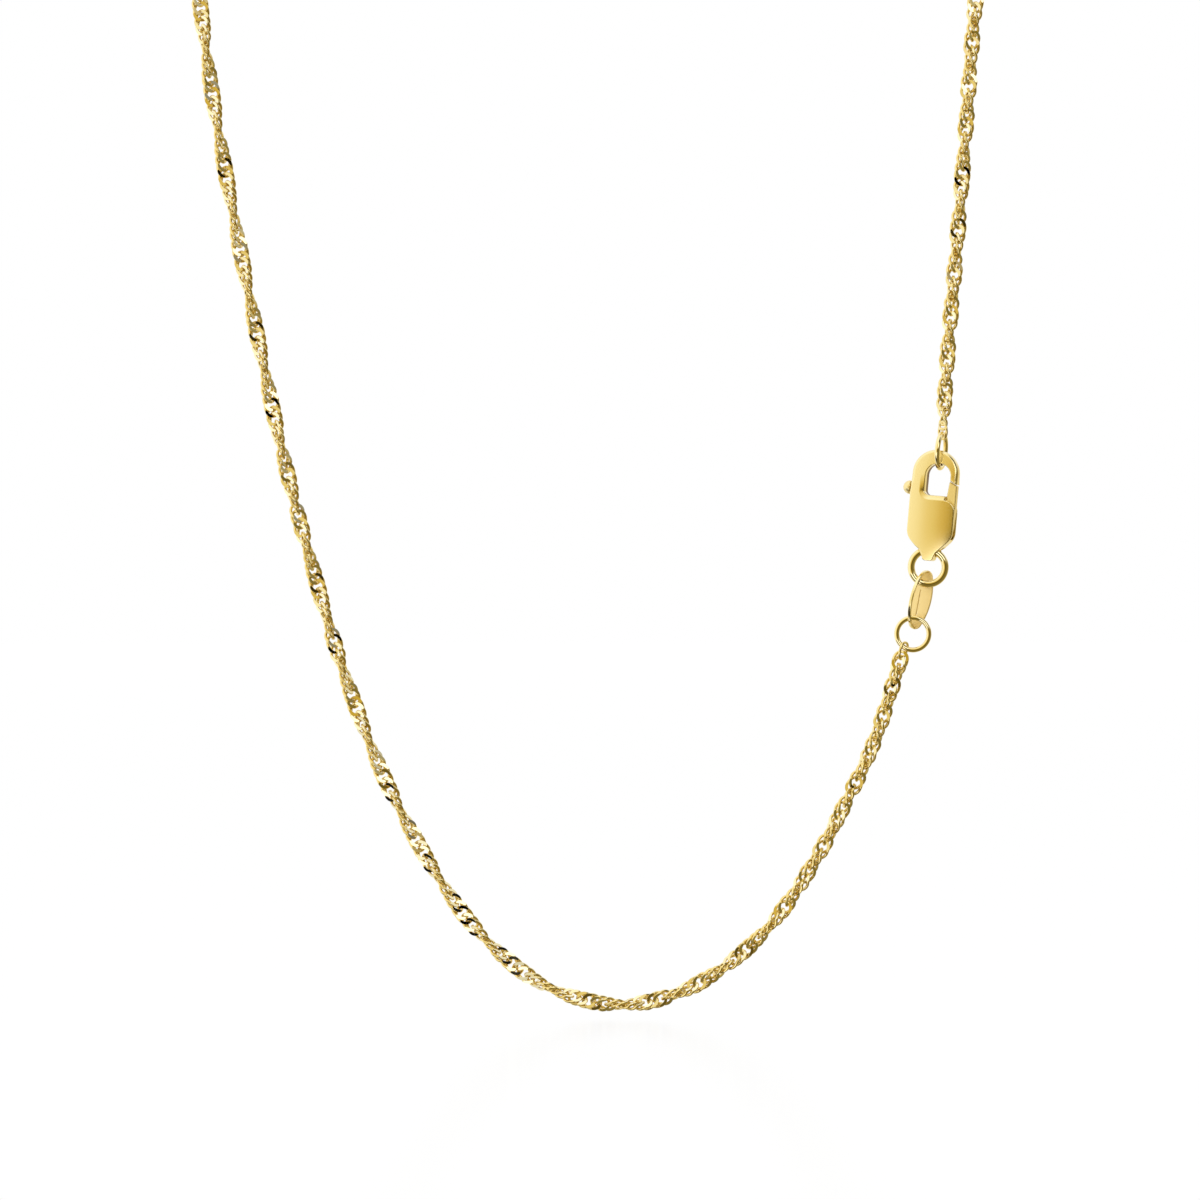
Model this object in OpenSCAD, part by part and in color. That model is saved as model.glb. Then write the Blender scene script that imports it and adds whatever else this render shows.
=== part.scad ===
// Singapore chain necklace with a lobster clasp, in millimetres.
// +Z is up, X runs across the wearer and -Y is the front. The origin is the middle of the
// chain at the nape, where the necklace hangs.

/* [Chain] */
// Width of the twisted chain
chain_w = 1.5; // [1.2:0.1:2]
// Outside length of the link at each end of the chain
end_link_l = 1.76; // [1.6:0.02:2.2]
// Outside width of the end link
end_link_w = 1.46; // [1.3:0.02:1.8]
// Wire of the end link
end_link_wire = 0.24; // [0.18:0.02:0.28]
// Lean of the lower end link from upright
lower_link_lean = 18; // [15:0.5:20]
// Turn of the lower end link about its length
lower_link_turn = 60; // [60:1:66]
// Turn of the upper end link about its length
upper_link_turn = -60; // [-60:4:-16]

/* [Rings] */
// Outside diameter of the ring in the clasp's hook
hook_ring_d = 3.5; // [3.4:0.05:4]
// Wire of the ring in the hook
hook_ring_wire = 0.46; // [0.4:0.02:0.5]
// Outside diameter of the ring in the clasp's tail
tail_ring_d = 3.64; // [3.4:0.02:4]
// Wire of the ring in the tail
tail_ring_wire = 0.64; // [0.5:0.02:0.68]
// Outside diameter of the ring at the chain's lower end
chain_ring_d = 3.3; // [3.1:0.05:3.8]
// Wire of the ring at the chain's lower end
chain_ring_wire = 0.45; // [0.35:0.05:0.5]

/* [Tag] */
// Length of the tag's flat oval back
tag_l = 5.35; // [5.2:0.05:5.6]
// Width of the flat back
tag_w = 2; // [1.6:0.05:2.1]
// Outside depth of the tag, from the back to the bow in front
tag_depth = 2.45; // [2.4:0.05:2.6]
// Thickness of the back and of the bow
tag_t = 0.24; // [0.18:0.01:0.26]
// Width of the bow
tag_bow_w = 0.28; // [0.2:0.01:0.32]
// Lean of the tag from upright
tag_lean = 13.7; // [12:0.1:15]
// Turn of the tag about its length
tag_turn = 66; // [65:1:68]

/* [Clasp] */
// Length of the clasp from the tail's tip to the hook's top
clasp_l = 9.85; // [9.6:0.05:10.4]
// Width of the clasp
body_w = 4.15; // [4:0.05:4.4]
// Thickness of the clasp at its middle
body_t = 1.8; // [1.7:0.05:2]
// Lean of the clasp from upright
clasp_lean = 5; // [0:1:10]
// Turn of the clasp about its length
clasp_turn = -16; // [-20:1:-10]
// Radius of the crown across the body's two faces
crown_r = 10; // [9:0.5:14]
// Radius of the crown along the clasp's length
long_crown_r = 28; // [26:1:40]
// Width of the hook's opening
mouth_w = 2.25; // [2.2:0.05:2.4]
// Height of the hook's opening
mouth_h = 2.85; // [2.6:0.05:2.9]
// Thickness of the hook at its top
hook_band = 1.2; // [1.1:0.05:1.25]
// Width of the tail
tail_w = 1.4; // [1.3:0.05:1.6]
// Radius of the hole across the tail
tail_bore_r = 0.46; // [0.44:0.01:0.48]
// Thickness of the lever
lever_t = 0.8; // [0.7:0.05:0.9]
// Gap on each side of the lever
lever_gap = 0.03; // [0.02:0.01:0.05]
// Radius of the pin that the lever turns on
pin_r = 0.35; // [0.3:0.01:0.4]
// Running clearance round the pin
pin_gap = 0.03; // [0.02:0.01:0.06]
// Radius of the thumb piece
thumb_r = 0.6; // [0.55:0.01:0.65]
// Gap between the lever's tip and the hook's tip
tip_gap = 0.1; // [0.08:0.01:0.14]

/* [Hidden] */
gold = "#dcb44a";
pale_gold = "#ecd183";
fine = 64;
seat_gap = 0.03;      // between a link or ring and what it hangs on
slanted_gap = 0.1;    // the same, where the wire crosses the link at a slant
tube_gap = 0.1;       // between an end link and the chain
tube_sides = 8;
long_span = 10.4;     // a span of the route over this gets a ring at its middle
cut = 0.5;            // how far a cutter runs past the face that it cuts
lap = 0.01;           // how far two outlines of one solid lap
big = 20;

// Chosen points along the chain from its lower end, up the left, round the nape at the
// origin and down the right to its upper end
chain_route = [
    [25.5, -82, -123.4], [23, -82, -128.8], [20.2, -82, -134.1], [16.7, -82, -139.3],
    [12.4, -82, -143.4], [7.7, -82, -146], [2.8, -82, -146.9], [-2.4, -82, -145.8],
    [-7.1, -82, -142.9], [-11.8, -82, -137.7], [-17, -82, -128.8], [-20.8, -82, -119.6],
    [-24, -82, -109.3], [-26.8, -82, -98.7], [-29.1, -82, -88.1], [-31.2, -82, -77.5],
    [-33.1, -82, -66.8], [-34.3, -82, -58], [-35.6, -80.8, -50.4], [-36.9, -76.2, -42],
    [-38.2, -69, -33.4], [-39.2, -60.2, -25.6], [-39.9, -50.4, -19], [-40, -40, -13.8],
    [-38.6, -29.6, -9.6], [-34.6, -20, -6.2], [-28.3, -11.7, -3.6], [-20, -5.4, -1.6],
    [-10.4, -1.4, -0.4], [0, 0, 0], [10.4, -1.4, -0.4], [20, -5.4, -1.6],
    [28.3, -11.7, -3.6], [34.6, -20, -6.2], [38.6, -29.6, -9.6], [40, -40, -13.8],
    [39.9, -50.4, -19], [39.2, -60.2, -25.6], [38.2, -69, -33.4], [36.9, -76.2, -42],
    [35.6, -80.8, -50.4], [34.4, -82, -58], [33.7, -82, -66.8], [32.9, -82, -77.5],
    [32, -82, -88.1]
];

// Where the tail's tip is, which places the whole clasp
clasp_tip = [30.24, -82, -107.63];

// Heights and places in the clasp's own frame: x across, y through, z up from the tail's tip
half_w = body_w / 2;
hook_z = clasp_l - half_w;
shoulder_r = 1.4;
shoulder_z = 2.68;
taper = shoulder_r * sqrt(0.5);
taper_x = half_w - shoulder_r + taper;
tail_root_z = shoulder_z - taper - (taper_x - tail_w / 2);
tail_corner_r = 0.28;
tail_tip_w = 1.0;
tail_bore_z = 0.85;
tail_ring_rise = 0.09;   // from the bore's middle up to the middle of its ring's wire
mouth_x = 0.33;
mouth_top = clasp_l - hook_band;
mouth_bottom = mouth_top - mouth_h;
mouth_corner_r = 0.45;
cheek_r = 0.95;
cheek_z = mouth_bottom - 1.35;
gate_w = 0.69;
gate_root_w = 0.84;
gate_side = 0.02;     // how far the gate lies inside the body's side
tip_slope = -0.5;     // rise of the hook tip's end face across the clasp
tip_z = mouth_top - 1.48;
pivot = [half_w - 0.95, shoulder_z + 0.32];
hub_r = 0.86;
hub_gap = 0.14;
neck_reach = 0.6;     // from the pin's middle to the left side of the lever's neck
pin_hold = 0.1;       // how far the pin runs into each cheek
slot_t = lever_t + 2 * lever_gap;
slot_low_z = mouth_bottom - 2.2;
slot_step = 0.25;     // the slot's floor is this much higher at the left side
slot_roof = 0.25;     // metal between the slot and the mouth
arm_low_z = mouth_bottom - 1.1;
arm_gap = 0.1;
arm_half = 0.4;       // half the arm's height at the thumb piece
arm_slope = 0.3;      // slant of the arm's corners
arm_end_x = mouth_x - mouth_w / 2 - slot_roof;
thumb_z = mouth_bottom + 0.56;
thumb_x = -half_w - 0.2;
thumb_gap = 0.08;
notch_x = 0.2;
lens_y = body_t / 2 - long_crown_r;
crown_z = clasp_l / 2 - 0.725;

function rot_z(v, a) = [v.x * cos(a) - v.y * sin(a), v.x * sin(a) + v.y * cos(a), v.z];
function rot_y(v, a) = [v.x * cos(a) + v.z * sin(a), v.y, -v.x * sin(a) + v.z * cos(a)];
function from_clasp(v) = clasp_tip + rot_y(rot_z(v, clasp_turn), clasp_lean);
// A direction in the front plane, a degrees from straight down towards the wearer's right
function down(a) = [-sin(a), 0, -cos(a)];

// The hook's ring hangs the clasp by the two lower edges of its hook
hook_ring_r = (hook_ring_d - hook_ring_wire) / 2;
hook_ring_x = 0.27;
hook_half_t = lens_y + sqrt(pow(long_crown_r, 2) - pow(mouth_top - crown_z, 2));
hook_ring_rise = sqrt(pow(hook_ring_r - hook_ring_wire / 2 - seat_gap, 2) - pow(hook_half_t, 2));
hook_ring_at = [hook_ring_x, 0, mouth_top + hook_ring_rise];
hook_ring_top = from_clasp(hook_ring_at + [0, 0, hook_ring_r]);

// The tail's ring runs through the tail's bore
tail_ring_r = (tail_ring_d - tail_ring_wire) / 2;
tail_ring_at = from_clasp([0, 0, tail_bore_z + tail_ring_rise - tail_ring_r]);

// The tag hangs from the tail's ring, and the chain's ring from the tag
tag_hang = 28.3;      // where on the tail's ring, from its lowest point
tag_rise = 1.173;     // from that ring's wire up to the tag's top
tag_drop = 0.916;     // from the next ring's wire down to the tag's foot
tag_back_r = 0.6;     // round ends of the tag's back
tag_bow_r = 2.05;     // round ends of its bow
// The seam's corners as shares of the back's half width and half length
tag_seam = [for (p = [[-0.01, -0.53], [0.08, -0.53], [0.2, 0.32], [0.15, 0.32]])
    [p.x * tag_w / 2, p.y * tag_l / 2]];
tag_forward = 0.22;   // the bow stands off the rings' wires by this much
tag_top = tail_ring_at + tail_ring_r * down(tag_hang) - tag_rise * down(tag_lean);
tag_at = tag_top + tag_l / 2 * down(tag_lean) - [0, tag_forward, 0];
chain_ring_r = (chain_ring_d - chain_ring_wire) / 2;
chain_ring_hang = -5.1;   // where the chain's ring bears, from its highest point
chain_ring_at = tag_top + (tag_l - tag_drop) * down(tag_lean) + chain_ring_r * down(chain_ring_hang);

// The end links hang on the two rings
link_r = (end_link_l - end_link_wire) / 2;
lower_link_hang = 32;     // where on the chain's ring, from its lowest point
lower_link_at = chain_ring_at + chain_ring_r * down(lower_link_hang)
    + (link_r - (chain_ring_wire + end_link_wire) / 2 - slanted_gap) * down(lower_link_lean);
upper_link_at = hook_ring_top
    + [0, 0, link_r - (hook_ring_wire + end_link_wire) / 2 - slanted_gap];
lower_chain_end = lower_link_at + (end_link_l / 2 + tube_gap) * down(lower_link_lean);
upper_chain_end = upper_link_at + [0, 0, end_link_l / 2 + tube_gap];

// The whole route, and a smooth curve through it
route = concat([lower_chain_end], chain_route, [upper_chain_end]);
route_last = len(route) - 1;
nape = search([[0, 0, 0]], route)[0];
function at(i) = i < 0 ? 2 * route[0] - route[1]
    : i > route_last ? 2 * route[route_last] - route[route_last - 1] : route[i];
function spline(a, b, c, d, t) = 0.5 * (2 * b + (c - a) * t + (2 * a - 5 * b + 4 * c - d) * t * t
    + (3 * b - a - 3 * c + d) * t * t * t);
function slope(a, b, c, d, t) = 0.5 * (c - a + 2 * (2 * a - 5 * b + 4 * c - d) * t
    + 3 * (3 * b - a - 3 * c + d) * t * t);
function unit(v) = v / norm(v);
// Each stop is a place on the curve and its direction
function stop(i, t) = i == route_last ? [route[i], unit(route[i] - route[i - 1])]
    : [spline(at(i - 1), at(i), at(i + 1), at(i + 2), t),
       unit(slope(at(i - 1), at(i), at(i + 1), at(i + 2), t))];
function stops(first, last) = [
    for (i = [first:last])
        for (t = i < last && norm(at(i + 1) - at(i)) > long_span ? [0, 0.5] : [0]) stop(i, t)
];
// Carries a side direction along the stops without twisting it
function carried(line, i) = i == 0 ? unit(cross(line[0][1], [0, 1, 0.3]))
    : let (side = carried(line, i - 1)) unit(side - (side * line[i][1]) * line[i][1]);

module tube(line) {
    sides = [for (i = [0:len(line) - 1]) carried(line, i)];
    rings = [for (i = [0:len(line) - 1]) for (k = [0:tube_sides - 1])
        let (a = 360 * k / tube_sides)
        line[i][0] + chain_w / 2 * (cos(a) * sides[i] + sin(a) * cross(line[i][1], sides[i]))];
    last = (len(line) - 1) * tube_sides;
    polyhedron(points = rings, faces = concat(
        [[for (k = [0:tube_sides - 1]) k]],
        [for (i = [0:len(line) - 2]) for (k = [0:tube_sides - 1])
            let (n = (k + 1) % tube_sides, a = i * tube_sides)
            [a + n, a + k, a + k + tube_sides, a + n + tube_sides]],
        [[for (k = [tube_sides - 1:-1:0]) last + k]]), convexity = 4);
}

module ring(radius, wire) {
    rotate_extrude($fn = fine) translate([radius, 0]) circle(d = wire, $fn = fine / 2);
}

// Puts children from the clasp's own frame into place
module in_clasp() {
    translate(clasp_tip) rotate([0, clasp_lean, 0]) rotate([0, 0, clasp_turn]) children();
}

// Stands an outline up, x across and z up, with its thickness along y
module plate(thickness) {
    rotate([90, 0, 0]) linear_extrude(thickness, center = true) children();
}

module bar_across(radius, length) {
    rotate([0, 90, 0]) cylinder(r = radius, h = length, center = true, $fn = fine);
}

// One rounded link, its length along z and its faces towards y
module end_link() {
    bend_r = (end_link_w - end_link_wire) / 2;
    straight = end_link_l - end_link_w;
    for (s = [-1, 1])
        translate([0, 0, s * straight / 2]) rotate([90, 0, 0]) intersection() {
            ring(bend_r, end_link_wire);
            translate([0, s * big / 2, 0]) cube(big, center = true);
        }
    for (s = [-1, 1])
        translate([s * bend_r, 0, 0])
            cylinder(d = end_link_wire, h = straight, center = true, $fn = fine / 2);
}

// An oval from two side arcs and two end arcs that meet smoothly
module oval(half_l, half, end_r) {
    end_z = half_l - end_r;
    side_r = (half * half + end_z * end_z - end_r * end_r) / (2 * (half - end_r));
    side_x = side_r - half;
    join_z = end_z + end_r * end_z / (side_r - end_r);
    intersection() {
        translate([-side_x, 0]) circle(r = side_r, $fn = 4 * fine);
        translate([side_x, 0]) circle(r = side_r, $fn = 4 * fine);
        square([4 * half, 2 * join_z], center = true);
    }
    for (s = [-1, 1]) translate([0, s * end_z]) circle(r = end_r, $fn = fine);
}

// Points along an arc, in the plane of an outline
function arc(x, z, r, from, to, n) = [
    for (i = [0:n]) let (a = from + (to - from) * i / n) [x + r * cos(a), z + r * sin(a)]
];

module body_outline() {
    side_x = half_w - shoulder_r;
    tip_x = tail_tip_w / 2 - tail_corner_r;
    polygon(concat(
        arc(0, hook_z, half_w, 0, 180, 36),
        arc(-side_x, shoulder_z, shoulder_r, 180, 225, 6),
        [[-tail_w / 2, tail_root_z]],
        arc(-tip_x, tail_corner_r, tail_corner_r, 180, 270, 6),
        arc(tip_x, tail_corner_r, tail_corner_r, 270, 360, 6),
        [[tail_w / 2, tail_root_z]],
        arc(side_x, shoulder_z, shoulder_r, 315, 360, 6)));
}

module mouth_outline() {
    mouth_r = mouth_w / 2;
    corner = mouth_r - mouth_corner_r;
    polygon(concat(
        arc(mouth_x, mouth_top - mouth_r, mouth_r, 0, 180, 30),
        arc(mouth_x - corner, mouth_bottom + mouth_corner_r, mouth_corner_r, 180, 270, 6),
        [[mouth_x + mouth_r, mouth_bottom]]));
}

// The height of the hook tip's end face at a place across the clasp
function tip_at(x) = tip_z + tip_slope * (x - mouth_x - mouth_w / 2);

// Where the gate closes the hook: open above the rounded top of the two cheeks
module gate_opening() {
    corner = half_w - cheek_r;
    difference() {
        polygon([[corner, cheek_z], [half_w + cut, cheek_z], [half_w + cut, tip_at(half_w + cut)],
                 [corner, tip_at(corner)]]);
        translate([corner, cheek_z]) circle(r = cheek_r, $fn = fine);
    }
}

module slot_outline() {
    slot_x = -half_w - cut;
    translate([slot_x, slot_low_z + slot_step])
        square([arm_end_x - slot_x, thumb_z + thumb_r - slot_low_z - slot_step]);
    translate([arm_end_x - cut, slot_low_z])
        square([pivot.x - arm_end_x + cut, mouth_bottom - slot_roof - slot_low_z]);
    translate([notch_x, pivot.y]) square([half_w + cut - notch_x, mouth_bottom + cut - pivot.y]);
    translate(pivot) circle(r = hub_r + hub_gap, $fn = fine);
    translate([pivot.x, pivot.y - hub_r - hub_gap])
        square([half_w + cut - pivot.x, hub_r + hub_gap]);
}

module clasp_body() {
    color(gold) in_clasp() {
        difference() {
            intersection() {
                plate(body_t + cut) body_outline();
                crown_slice(1);
                crown_slice(-1);
                long_crown_slice(1);
                long_crown_slice(-1);
            }
            plate(body_t + 2 * cut) mouth_outline();
            plate(body_t + 2 * cut) gate_opening();
            plate(slot_t) slot_outline();
            translate([0, 0, tail_bore_z]) rotate([0, 0, -clasp_turn])
                bar_across(tail_bore_r, body_w);
        }
        translate([pivot.x, 0, pivot.y]) rotate([90, 0, 0])
            cylinder(r = pin_r, h = slot_t + 2 * pin_hold, center = true, $fn = fine);
    }
}

module crown_slice(side) {
    translate([0, side * (crown_r - body_t / 2), -cut])
        cylinder(r = crown_r, h = clasp_l + 2 * cut, $fn = 4 * fine);
}

module long_crown_slice(side) {
    translate([0, side * lens_y, crown_z]) rotate([0, 90, 0])
        cylinder(r = long_crown_r, h = body_w + 2 * cut, center = true, $fn = 12 * fine);
}

module lever_outline() {
    gate_x = half_w - gate_side;
    gate_top = tip_at(gate_x - gate_w) - tip_gap;
    neck_x = pivot.x - neck_reach;
    root_x = gate_x - gate_root_w;
    translate(pivot) circle(r = hub_r, $fn = fine);
    // the gate, up the right side to the hook's tip
    polygon([[neck_x, pivot.y], [pivot.x + hub_r, pivot.y], [gate_x, cheek_z],
             [gate_x, tip_at(gate_x) - tip_gap], [gate_x - gate_w, gate_top],
             [root_x, mouth_bottom], [root_x, arm_low_z], [neck_x, arm_low_z]]);
    // the arm, under the mouth and up inside the left side to the thumb piece
    arm_top = mouth_bottom - slot_roof - arm_gap;
    arm_x = arm_end_x - arm_gap;
    polygon([[root_x + lap, arm_low_z], [root_x + lap, arm_top],
             [arm_x, arm_top], [arm_x, thumb_z + arm_half - arm_slope],
             [arm_x - arm_slope, thumb_z + arm_half],
             [thumb_x, thumb_z + arm_half], [thumb_x, thumb_z - arm_half],
             [0.5 - half_w, arm_top - arm_slope], [arm_x, arm_low_z + arm_gap]]);
}

module clasp_lever() {
    color(pale_gold) in_clasp() {
        difference() {
            plate(lever_t) lever_outline();
            translate([pivot.x, 0, pivot.y]) rotate([90, 0, 0])
                cylinder(r = pin_r + pin_gap, h = body_t, center = true, $fn = fine);
        }
        intersection() {
            translate([thumb_x, 0, thumb_z]) sphere(r = thumb_r, $fn = fine);
            translate([-half_w - thumb_gap - big / 2, 0, thumb_z]) cube(big, center = true);
        }
    }
}

module hook_ring() {
    color(gold) in_clasp() translate(hook_ring_at) rotate([0, 90, 0])
        ring(hook_ring_r, hook_ring_wire);
}

module tail_ring() {
    color(gold) translate(tail_ring_at) rotate([90, 0, 0]) ring(tail_ring_r, tail_ring_wire);
}

module chain_ring() {
    color(gold) translate(chain_ring_at) rotate([90, 0, 0]) ring(chain_ring_r, chain_ring_wire);
}

// The tag's flat oval back, cut by a thin seam, and the narrow bow in front that joins its ends
module tag_link() {
    half_l = tag_l / 2;
    reach = tag_depth - tag_t / 2;
    back_x = tag_depth / 2 - tag_t / 2;
    color(pale_gold) translate(tag_at) rotate([0, tag_lean, 0]) rotate([0, 0, tag_turn])
        translate([back_x, 0, 0]) {
            rotate([0, 0, 90]) plate(tag_t) difference() {
                oval(half_l, tag_w / 2, tag_back_r);
                polygon(tag_seam);
            }
            plate(tag_bow_w) intersection() {
                difference() {
                    oval(half_l, reach, tag_bow_r);
                    oval(half_l - tag_t, reach - tag_t, tag_bow_r - tag_t);
                }
                translate([-big / 2, 0]) square(big, center = true);
            }
        }
}

module upper_end_link() {
    color(gold) translate(upper_link_at) rotate([0, 0, upper_link_turn]) end_link();
}

module lower_end_link() {
    color(gold) translate(lower_link_at) rotate([0, lower_link_lean, 0])
        rotate([0, 0, lower_link_turn]) end_link();
}

module chain_left() {
    color(gold) tube(stops(0, nape));
}

module chain_right() {
    color(gold) tube(stops(nape, route_last));
}

chain_left();
chain_right();
upper_end_link();
lower_end_link();
hook_ring();
clasp_body();
clasp_lever();
tail_ring();
tag_link();
chain_ring();
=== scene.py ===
"""Singapore chain necklace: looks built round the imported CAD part."""

import math

import bmesh
import bpy
import numpy as np
from mathutils import Matrix, Vector


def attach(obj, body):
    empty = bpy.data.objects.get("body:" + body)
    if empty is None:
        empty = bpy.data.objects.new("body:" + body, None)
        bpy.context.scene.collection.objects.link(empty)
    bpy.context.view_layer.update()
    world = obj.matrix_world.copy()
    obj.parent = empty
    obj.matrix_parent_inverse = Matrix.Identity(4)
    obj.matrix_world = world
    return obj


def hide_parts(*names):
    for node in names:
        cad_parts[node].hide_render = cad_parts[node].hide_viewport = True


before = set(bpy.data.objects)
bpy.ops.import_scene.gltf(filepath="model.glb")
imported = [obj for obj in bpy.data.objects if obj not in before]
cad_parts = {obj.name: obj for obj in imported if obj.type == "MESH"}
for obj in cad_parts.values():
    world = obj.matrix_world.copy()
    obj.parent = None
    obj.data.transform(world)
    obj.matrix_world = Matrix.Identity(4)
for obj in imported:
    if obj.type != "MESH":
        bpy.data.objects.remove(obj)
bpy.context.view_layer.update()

MM = 0.001

# Chosen points along the chain in metres, from its lower end up the left, round the nape
# and down the right to its upper end. The same as the CAD route.
ROUTE = [
    (0.0255, -0.082, -0.1234), (0.023, -0.082, -0.1288), (0.0202, -0.082, -0.1341),
    (0.0167, -0.082, -0.1393), (0.0124, -0.082, -0.1434), (0.0077, -0.082, -0.146),
    (0.0028, -0.082, -0.1469), (-0.0024, -0.082, -0.1458), (-0.0071, -0.082, -0.1429),
    (-0.0118, -0.082, -0.1377), (-0.017, -0.082, -0.1288), (-0.0208, -0.082, -0.1196),
    (-0.024, -0.082, -0.1093), (-0.0268, -0.082, -0.0987), (-0.0291, -0.082, -0.0881),
    (-0.0312, -0.082, -0.0775), (-0.0331, -0.082, -0.0668), (-0.0343, -0.082, -0.058),
    (-0.0356, -0.0808, -0.0504), (-0.0369, -0.0762, -0.042), (-0.0382, -0.069, -0.0334),
    (-0.0392, -0.0602, -0.0256), (-0.0399, -0.0504, -0.019), (-0.04, -0.04, -0.0138),
    (-0.0386, -0.0296, -0.0096), (-0.0346, -0.02, -0.0062), (-0.0283, -0.0117, -0.0036),
    (-0.02, -0.0054, -0.0016), (-0.0104, -0.0014, -0.0004), (0, 0, 0),
    (0.0104, -0.0014, -0.0004), (0.02, -0.0054, -0.0016), (0.0283, -0.0117, -0.0036),
    (0.0346, -0.02, -0.0062), (0.0386, -0.0296, -0.0096), (0.04, -0.04, -0.0138),
    (0.0399, -0.0504, -0.019), (0.0392, -0.0602, -0.0256), (0.0382, -0.069, -0.0334),
    (0.0369, -0.0762, -0.042), (0.0356, -0.0808, -0.0504), (0.0344, -0.082, -0.058),
    (0.0337, -0.082, -0.0668), (0.0329, -0.082, -0.0775), (0.032, -0.082, -0.0881),
]

# The same sizes as in the CAD source, in millimetres and degrees
END_LINK_L, END_LINK_W, END_LINK_WIRE = 1.76, 1.46, 0.24
HOOK_RING_R, HOOK_RING_WIRE = 1.52, 0.46
TAIL_RING_R, TAIL_RING_WIRE = 1.5, 0.64
CHAIN_RING_R, CHAIN_RING_WIRE = 1.425, 0.45
SEAT_GAP, SLANTED_GAP = 0.03, 0.1

CLASP_TIP = (30.24, -82, -107.63)
CLASP_LEAN, CLASP_TURN = 5, -16
CLASP_L, BODY_W, BODY_T = 9.85, 4.15, 1.8
HALF_W = BODY_W / 2
CROWN_R, LONG_CROWN_R = 10, 28
CROWN_Z = CLASP_L / 2 - 0.725
SHOULDER_R, SHOULDER_Z = 1.4, 2.68
TAIL_W, TAIL_TIP_W, TAIL_CORNER_R = 1.4, 1.0, 0.28
TAIL_BORE_R, TAIL_BORE_Z, TAIL_RING_RISE = 0.46, 0.85, 0.09
MOUTH_X, MOUTH_W, MOUTH_H, MOUTH_CORNER_R = 0.33, 2.25, 2.85, 0.45
MOUTH_R = MOUTH_W / 2
HOOK_BAND = 1.2
MOUTH_TOP = CLASP_L - HOOK_BAND
MOUTH_BOTTOM = MOUTH_TOP - MOUTH_H
HOOK_RING_X = 0.27
TIP_Z, TIP_SLOPE, TIP_GAP = MOUTH_TOP - 1.48, -0.5, 0.1
CHEEK_R, CHEEK_Z = 0.95, MOUTH_BOTTOM - 1.35
GATE_W, GATE_ROOT_W, GATE_SIDE = 0.69, 0.84, 0.02
PIVOT = (HALF_W - 0.95, SHOULDER_Z + 0.32)
HUB_R, HUB_GAP, NECK_REACH = 0.86, 0.14, 0.6
PIN_R, PIN_GAP = 0.35, 0.03
SLOT_ROOF, SLOT_STEP, SLOT_LOW_Z, NOTCH_X = 0.25, 0.25, MOUTH_BOTTOM - 2.2, 0.2
LEVER_T, LEVER_GAP = 0.8, 0.03
ARM_GAP, ARM_HALF, ARM_SLOPE, ARM_LOW_Z = 0.1, 0.4, 0.3, MOUTH_BOTTOM - 1.1
THUMB_X, THUMB_Z, THUMB_R, THUMB_GAP = -HALF_W - 0.2, MOUTH_BOTTOM + 0.56, 0.6, 0.08
ARM_INSET = 0.5         # from the side to the arm's lower corner
CUT, LAP = 0.5, 0.01    # how far a cutter runs past its face, and two outlines of a solid lap

TAG_L, TAG_W, TAG_DEPTH, TAG_T, TAG_BOW_W = 5.35, 2.0, 2.45, 0.24, 0.28
TAG_BACK_R, TAG_BOW_R = 0.6, 2.05
TAG_LEAN, TAG_TURN, TAG_FORWARD = 13.7, 66, 0.22
TAG_HANG, TAG_RISE, TAG_DROP = 28.3, 1.173, 0.916
TAG_SEAM = [(y * TAG_W / 2, z * TAG_L / 2)
            for y, z in ((-0.01, -0.53), (0.08, -0.53), (0.2, 0.32), (0.15, 0.32))]
CHAIN_RING_HANG = -5.1
LOWER_HANG, LOWER_LEAN, LOWER_TURN, UPPER_TURN = 32, 18, 60, -60


def turned(lean, turn, at):
    """The place of a piece: turned about its length, leaned, then moved. Millimetres in, metres out."""
    return (Matrix.Translation([v * MM for v in at])
            @ Matrix.Rotation(math.radians(lean), 4, "Y")
            @ Matrix.Rotation(math.radians(turn), 4, "Z"))


def down(a):
    """A direction in the front plane, the given degrees from straight down towards -x."""
    a = math.radians(a)
    return np.array([-math.sin(a), 0, -math.cos(a)])


def from_clasp(x, y, z):
    """A place in the clasp's own frame, in the necklace's frame. Millimetres both."""
    p = turned(CLASP_LEAN, CLASP_TURN, CLASP_TIP) @ Vector((x * MM, y * MM, z * MM))
    return np.array(p) / MM


# Where each ring, the tag and the end links hang
HOOK_HALF_T = BODY_T / 2 - LONG_CROWN_R + math.sqrt(LONG_CROWN_R ** 2 - (MOUTH_TOP - CROWN_Z) ** 2)
HOOK_RING_RISE = math.sqrt((HOOK_RING_R - HOOK_RING_WIRE / 2 - SEAT_GAP) ** 2 - HOOK_HALF_T ** 2)
HOOK_RING_AT = (HOOK_RING_X, 0, MOUTH_TOP + HOOK_RING_RISE)
HOOK_RING_TOP = from_clasp(HOOK_RING_X, 0, HOOK_RING_AT[2] + HOOK_RING_R)
TAIL_RING_AT = from_clasp(0, 0, TAIL_BORE_Z + TAIL_RING_RISE - TAIL_RING_R)
TAG_TOP = TAIL_RING_AT + TAIL_RING_R * down(TAG_HANG) - TAG_RISE * down(TAG_LEAN)
TAG_AT = TAG_TOP + TAG_L / 2 * down(TAG_LEAN) - np.array([0, TAG_FORWARD, 0])
CHAIN_RING_AT = (TAG_TOP + (TAG_L - TAG_DROP) * down(TAG_LEAN)
                 + CHAIN_RING_R * down(CHAIN_RING_HANG))
LINK_R = (END_LINK_L - END_LINK_WIRE) / 2
LOWER_LINK_AT = (CHAIN_RING_AT + CHAIN_RING_R * down(LOWER_HANG)
                 + (LINK_R - (CHAIN_RING_WIRE + END_LINK_WIRE) / 2 - SLANTED_GAP) * down(LOWER_LEAN))
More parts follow.
